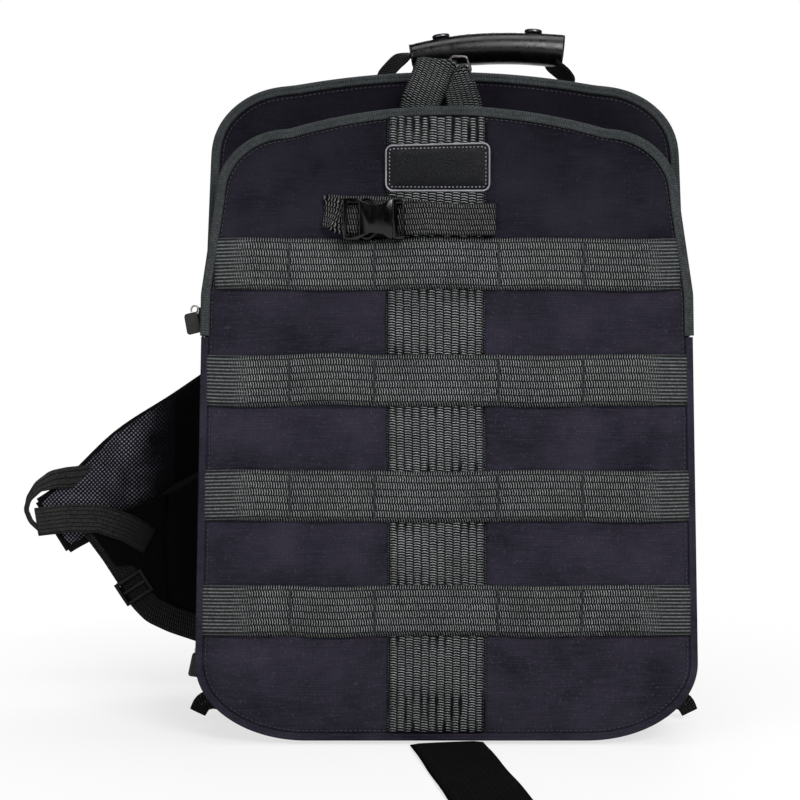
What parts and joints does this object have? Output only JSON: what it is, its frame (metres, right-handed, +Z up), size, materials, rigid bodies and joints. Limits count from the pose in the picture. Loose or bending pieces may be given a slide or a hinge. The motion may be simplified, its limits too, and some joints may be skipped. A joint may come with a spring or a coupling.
{
  "type": "trauma backpack",
  "caption": "Upright first responder backpack with a fold-down front pocket, a clamshell main compartment, load webbing, a carry handle and padded straps.",
  "frame": {"origin": "middle of the base panel's underside, where the pack stands on the floor", "axes": "+Z up, -Y out of the front pocket's face, +X to the right as seen from the front"},
  "size_m": [0.4948, 0.4922, 0.4997],
  "materials": {
    "shell_fabric": "matte",
    "base_fabric": "matte",
    "lining_foam": "matte",
    "frame_plastic": "matte",
    "binding_tape": "matte",
    "zip_tape": "matte",
    "pad_fabric": "matte",
    "webbing": "matte",
    "band_webbing": "matte",
    "inner_fabric": "matte",
    "leather": "satin",
    "pull_leather": "satin",
    "buckle_plastic": "gloss",
    "dark_metal": "satin",
    "bright_metal": "polished"
  },
  "bodies": {
    "pack": {"main_shell": "shell_fabric", "back_panel": "shell_fabric", "base_panel": "base_fabric", "foam_liner": "lining_foam", "back_foam": "lining_foam", "frame_sheet": "frame_plastic", "shelf_dividers": "lining_foam", "middle_divider": "lining_foam", "rear_piping": "binding_tape", "main_zip_tape_rear": "zip_tape", "back_pads": "pad_fabric", "lumbar_pad": "pad_fabric", "shoulder_yoke": "pad_fabric", "handle_anchors": "webbing", "zip_end_tabs": "webbing", "fold_gusset": "shell_fabric"},
    "lid": {"lid_panel": "shell_fabric", "main_binding": "binding_tape", "main_zip_tape_front": "zip_tape", "pocket_gusset": "shell_fabric", "front_panel": "shell_fabric", "lower_piping": "shell_fabric", "band_lower": "band_webbing", "molle_row_1": "webbing", "molle_row_2": "webbing", "molle_row_3": "webbing", "pocket_zip_tape": "zip_tape", "organiser": "inner_fabric", "elastic_loops": "inner_fabric", "top_loop": "webbing", "base_strap": "webbing"},
    "flap": {"flap_panel": "shell_fabric", "flap_binding": "binding_tape", "flap_zip_tape": "zip_tape", "band_upper": "band_webbing", "molle_row_4": "webbing", "patch": "leather", "buckle_strap": "webbing", "buckle_strap_slack": "webbing", "buckle_socket": "buckle_plastic"},
    "plug": {"buckle_plug": "buckle_plastic"},
    "strap_ring": {"loop_ring": "bright_metal"},
    "pocket_slider": {"pocket_zip_slider": "dark_metal"},
    "pocket_pull": {"pocket_zip_pull": "pull_leather"},
    "main_slider": {"main_zip_slider": "dark_metal"},
    "main_pull": {"main_zip_pull": "pull_leather"},
    "handle": {"handle_webbing": "webbing", "handle_wrap": "leather", "handle_snaps": "dark_metal"},
    "shoulder_left": {"shoulder_pad_left": "pad_fabric", "strap_tail_left": "webbing", "ladder_lock_left": "buckle_plastic", "adjuster_left": "webbing"},
    "shoulder_right": {"shoulder_pad_right": "pad_fabric", "strap_tail_right": "webbing", "ladder_lock_right": "buckle_plastic", "adjuster_right": "webbing"},
    "wing_left": {"hip_wing_left": "pad_fabric"},
    "wing_right": {"hip_wing_right": "pad_fabric"}
  },
  "joints": [
    {"name": "lid_open", "type": "hinge", "parent": "pack", "child": "lid", "pos_m": [0, -0.0263, 0.004], "axis": [1, 0, 0], "range_deg": [0, 110], "deforming": ["fold_gusset"]},
    {"name": "flap_open", "type": "hinge", "parent": "lid", "child": "flap", "pos_m": [0, -0.097, 0.272], "axis": [1, 0, 0], "range_deg": [0, 110]},
    {"name": "plug_out", "type": "slide", "parent": "flap", "child": "plug", "axis": [1, 0, 0], "range_m": [0, 0.018], "deforming": ["buckle_strap_slack"]},
    {"name": "ring_swing", "type": "hinge", "parent": "lid", "child": "strap_ring", "pos_m": [0.0085, -0.0632, 0.4497], "axis": [1, 0, 0], "range_deg": [-110, 0]},
    {"name": "pocket_zip_run", "type": "slide", "parent": "lid", "child": "pocket_slider", "axis": [0, 0, 1], "range_m": [0, 0.03]},
    {"name": "pocket_pull_swing", "type": "hinge", "parent": "pocket_slider", "child": "pocket_pull", "pos_m": [-0.1683, -0.0896, 0.289], "axis": [0, 1, 0], "range_deg": [0, 80]},
    {"name": "main_zip_run", "type": "slide", "parent": "pack", "child": "main_slider", "axis": [0, 0, 1], "range_m": [0, 0.25]},
    {"name": "main_pull_swing", "type": "hinge", "parent": "main_slider", "child": "main_pull", "pos_m": [-0.1737, -0.0322, 0.05], "axis": [0, 1, 0], "range_deg": [0, 80]},
    {"name": "handle_tilt", "type": "hinge", "parent": "pack", "child": "handle", "pos_m": [0.025, 0.0677, 0.452], "axis": [1, 0, 0], "range_deg": [-60, 60], "stiffness_Nm_per_rad": 0.06, "deforming": ["handle_webbing"]},
    {"name": "shoulder_left_lift", "type": "hinge", "parent": "pack", "child": "shoulder_left", "pos_m": [-0.05, 0.0984, 0.404], "axis": [1, 0, 0], "range_deg": [0, 35], "deforming": ["adjuster_left"]},
    {"name": "shoulder_right_lift", "type": "hinge", "parent": "pack", "child": "shoulder_right", "pos_m": [0.05, 0.0984, 0.404], "axis": [1, 0, 0], "range_deg": [0, 35], "deforming": ["adjuster_right"]},
    {"name": "wing_left_fold", "type": "hinge", "parent": "pack", "child": "wing_left", "pos_m": [-0.0953, 0.1013, 0.085], "axis": [0, 0, 1], "range_deg": [-95, 0]},
    {"name": "wing_right_fold", "type": "hinge", "parent": "pack", "child": "wing_right", "pos_m": [0.0953, 0.1013, 0.085], "axis": [0, 0, 1], "range_deg": [-60, 28]}
  ]
}
